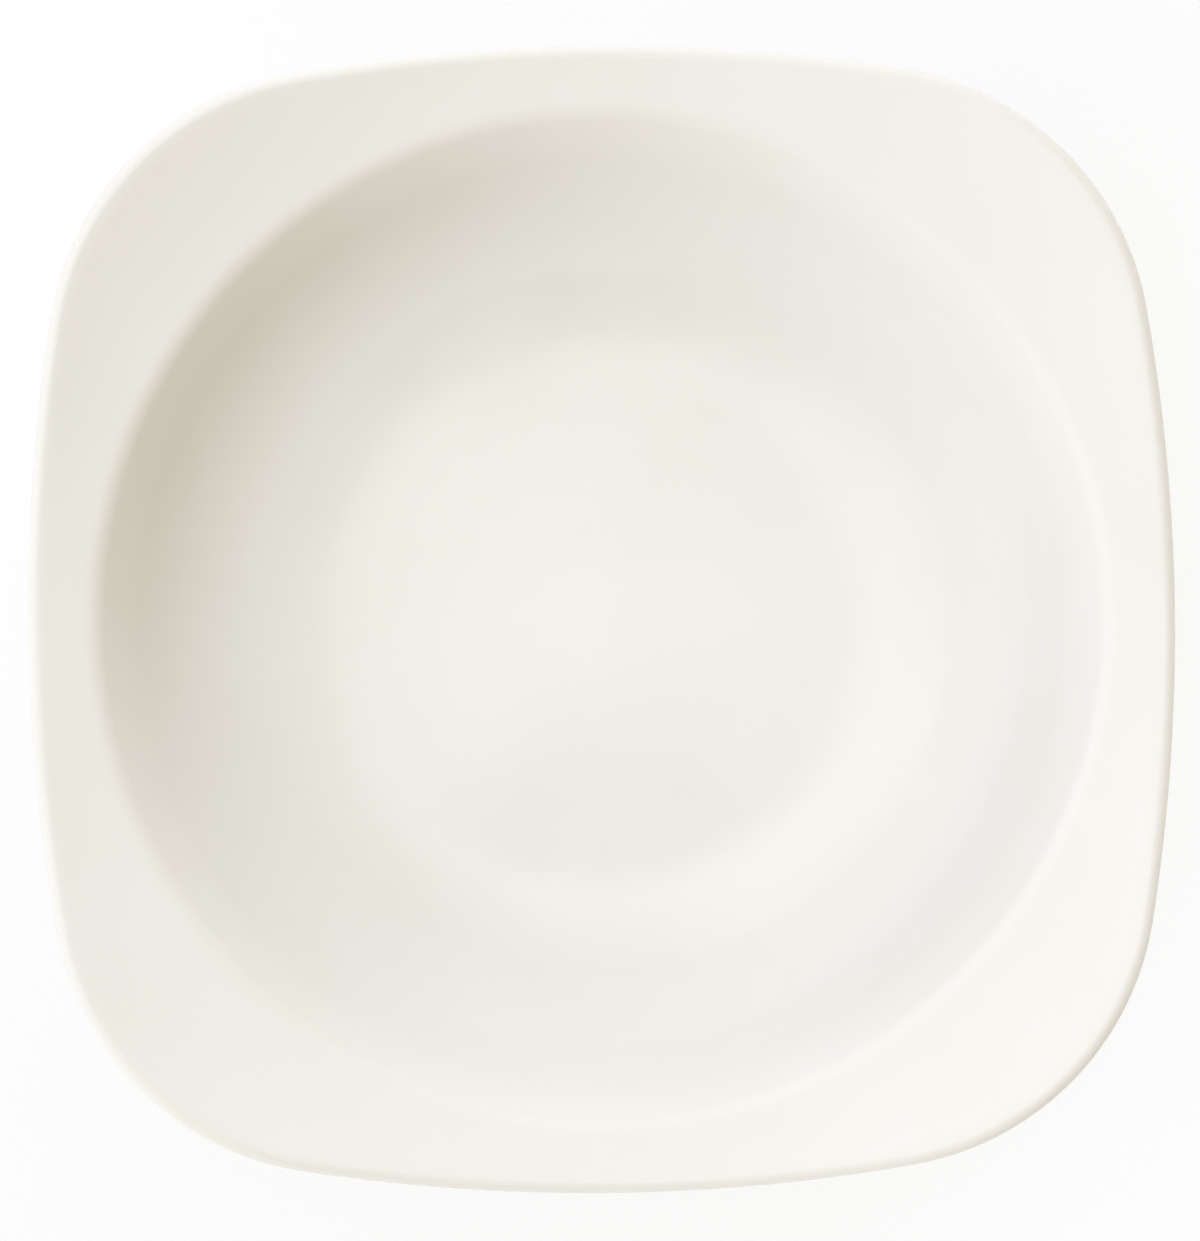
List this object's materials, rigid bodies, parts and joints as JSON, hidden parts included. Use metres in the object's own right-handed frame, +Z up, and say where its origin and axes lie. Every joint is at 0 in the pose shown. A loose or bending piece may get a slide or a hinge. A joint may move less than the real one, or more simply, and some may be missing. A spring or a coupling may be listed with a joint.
{
  "type": "deep square plate",
  "caption": "Deep ceramic plate with a round well, a bowed-square rim whose corners sweep up, a rolled lip and a foot ring, glazed all over but on its standing face.",
  "frame": {"origin": "centre of the foot ring's standing face, on the plane the plate stands on", "axes": "+Z up out of the well, X and Y through the middles of the sides"},
  "size_m": [0.2298, 0.2298, 0.0524],
  "materials": {
    "clay": "matte, unglazed, seen only on the foot ring's standing face",
    "glaze": "glossy cream white"
  },
  "bodies": {
    "root": {"ceramic_body": "clay", "glaze_coat": "glaze", "base_glaze": "glaze"}
  },
  "joints": []
}
